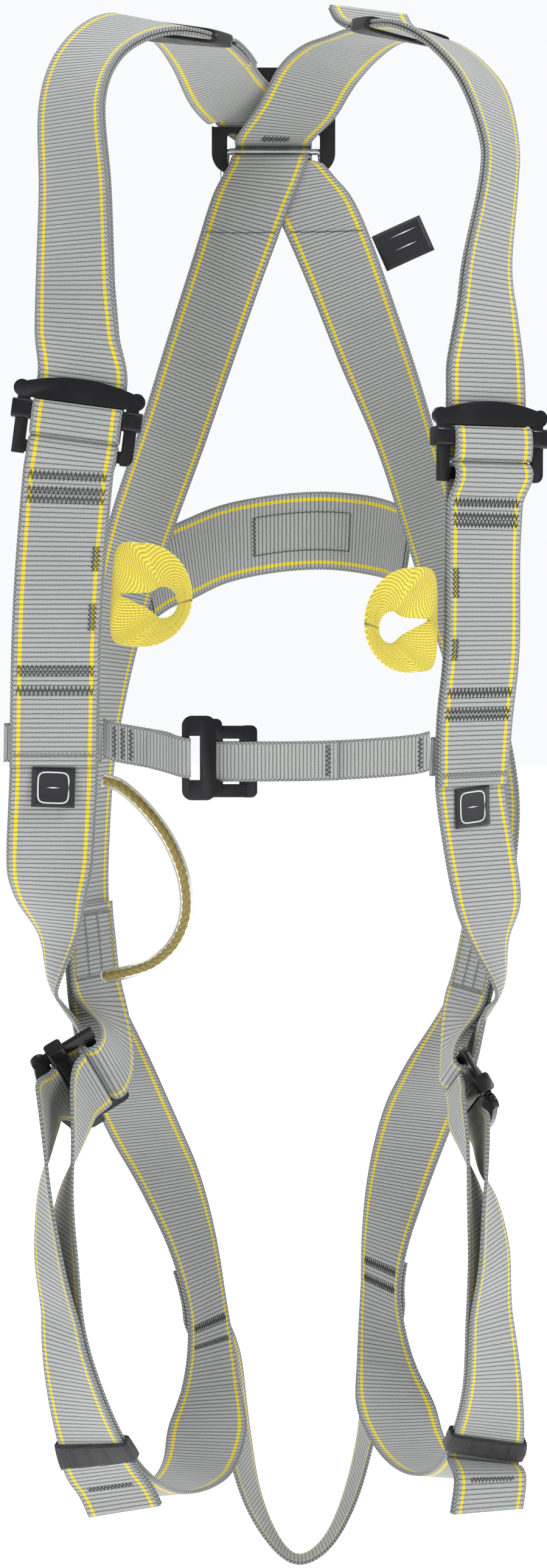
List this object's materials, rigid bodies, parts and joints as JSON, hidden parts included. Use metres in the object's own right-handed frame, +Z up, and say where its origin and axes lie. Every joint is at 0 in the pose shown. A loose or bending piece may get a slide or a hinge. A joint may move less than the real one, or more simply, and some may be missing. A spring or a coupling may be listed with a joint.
{
  "type": "full-body safety harness",
  "caption": "Full-body fall-arrest harness of webbing with a dorsal D-ring, sliding-bar adjusters, textile front loops, chest buckle, leg loops and a gear loop.",
  "frame": {"origin": "inside of the dorsal D-ring's bow at its middle, where a connector bears, with the ring hanging down", "axes": "+X to the wearer's left, +Y out of the wearer's back, +Z up towards the head; left and right in node names are as seen from the front"},
  "size_m": [0.2758, 0.2887, 0.8873],
  "materials": {
    "webbing": "light grey polyester webbing with two yellow stripes",
    "chest_webbing": "plain grey polyester webbing",
    "buckle_black": "black, satin",
    "plate_black": "black, matte",
    "ring_steel": "plated steel, polished",
    "elastic_black": "black elastic band",
    "loop_yellow": "yellow textile, fine weave",
    "tube_clear": "clear tube over a yellow cord",
    "label_black": "black, satin"
  },
  "bodies": {
    "webbing": {"left_shoulder_strap": "webbing", "right_shoulder_strap": "webbing", "left_shoulder_tail": "webbing", "right_shoulder_tail": "webbing", "left_back_strap": "webbing", "right_back_strap": "webbing", "left_front_strap": "webbing", "right_front_strap": "webbing", "left_hip_strap": "webbing", "right_hip_strap": "webbing", "left_seat_strap": "webbing", "right_seat_strap": "webbing", "left_leg_strap": "webbing", "right_leg_strap": "webbing", "left_leg_tail": "webbing", "right_leg_tail": "webbing", "waist_strap": "webbing", "waist_patch": "webbing", "subpelvic_strap": "webbing", "left_chest_loop": "chest_webbing", "right_chest_loop": "chest_webbing", "dorsal_plate": "plate_black", "left_shoulder_frame": "buckle_black", "right_shoulder_frame": "buckle_black", "left_leg_frame": "buckle_black", "right_leg_frame": "buckle_black", "left_shoulder_keeper": "elastic_black", "right_shoulder_keeper": "elastic_black", "left_leg_keeper": "elastic_black", "right_leg_keeper": "elastic_black"},
    "dorsal_ring": {"dorsal_d_ring": "ring_steel"},
    "left_shoulder_bar": {"left_shoulder_slide_bar": "buckle_black"},
    "right_shoulder_bar": {"right_shoulder_slide_bar": "buckle_black"},
    "left_leg_bar": {"left_leg_slide_bar": "buckle_black"},
    "right_leg_bar": {"right_leg_slide_bar": "buckle_black"},
    "left_chest_half": {"left_chest_strap": "chest_webbing", "chest_hook": "buckle_black"},
    "right_chest_half": {"right_chest_strap": "chest_webbing", "chest_catch": "buckle_black"},
    "left_loop": {"left_front_loop": "loop_yellow"},
    "right_loop": {"right_front_loop": "loop_yellow"},
    "gear_loop": {"gear_loop_tube": "tube_clear"},
    "left_size_label": {"left_label": "label_black"},
    "right_size_label": {"right_label": "label_black"},
    "back_tab": {"tab_label": "label_black"}
  },
  "joints": [
    {"name": "dorsal_ring_swing", "type": "hinge", "parent": "webbing", "child": "dorsal_ring", "pos_m": [0, 0, 0.0399], "axis": [1, 0, 0], "range_deg": [0, 140]},
    {"name": "left_shoulder_bar_slide", "type": "slide", "parent": "webbing", "child": "left_shoulder_bar", "axis": [0.1302, 0, 0.9915], "range_m": [-0.002, 0]},
    {"name": "right_shoulder_bar_slide", "type": "slide", "parent": "webbing", "child": "right_shoulder_bar", "axis": [0, 0, 1], "range_m": [-0.002, 0]},
    {"name": "left_leg_bar_slide", "type": "slide", "parent": "webbing", "child": "left_leg_bar", "axis": [-0.8521, -0.1504, -0.5013], "range_m": [-0.002, 0]},
    {"name": "right_leg_bar_slide", "type": "slide", "parent": "webbing", "child": "right_leg_bar", "axis": [0.471, -0.3207, -0.8218], "range_m": [-0.002, 0]},
    {"name": "left_chest_swing", "type": "hinge", "parent": "webbing", "child": "left_chest_half", "pos_m": [-0.0856, -0.2374, -0.2921], "axis": [0, 0, -1], "range_deg": [0, 60]},
    {"name": "right_chest_swing", "type": "hinge", "parent": "webbing", "child": "right_chest_half", "pos_m": [0.0778, -0.252, -0.2981], "axis": [0, 0, 1], "range_deg": [0, 24]},
    {"name": "left_loop_swing", "type": "hinge", "parent": "webbing", "child": "left_loop", "pos_m": [-0.0816, -0.246, -0.2191], "axis": [-0.0598, 0.0498, -0.997], "range_deg": [-20, 45]},
    {"name": "right_loop_swing", "type": "hinge", "parent": "webbing", "child": "right_loop", "pos_m": [0.0813, -0.258, -0.2321], "axis": [0, -0.0797, 0.9968], "range_deg": [-20, 45]},
    {"name": "gear_loop_swing", "type": "hinge", "parent": "webbing", "child": "gear_loop", "pos_m": [-0.086, -0.233, -0.3141], "axis": [-0.027, 0.3243, -0.9456], "range_deg": [-20, 20]},
    {"name": "left_label_swing", "type": "hinge", "parent": "webbing", "child": "left_size_label", "pos_m": [-0.11105, -0.23923, -0.30741], "axis": [-0.9995, -0.0008, 0.0324], "range_deg": [0, 60]},
    {"name": "right_label_swing", "type": "hinge", "parent": "webbing", "child": "right_size_label", "pos_m": [0.10063, -0.23729, -0.3174], "axis": [-0.8208, -0.5667, -0.0718], "range_deg": [0, 60]},
    {"name": "back_tab_swing", "type": "hinge", "parent": "webbing", "child": "back_tab", "pos_m": [0.061, -0.029, -0.0231], "axis": [0.3989, -0.1059, -0.9108], "range_deg": [-30, 30]}
  ],
  "couplings": [
    {"joint": "right_chest_swing", "follows": "left_chest_swing", "ratio": 0.4}
  ]
}
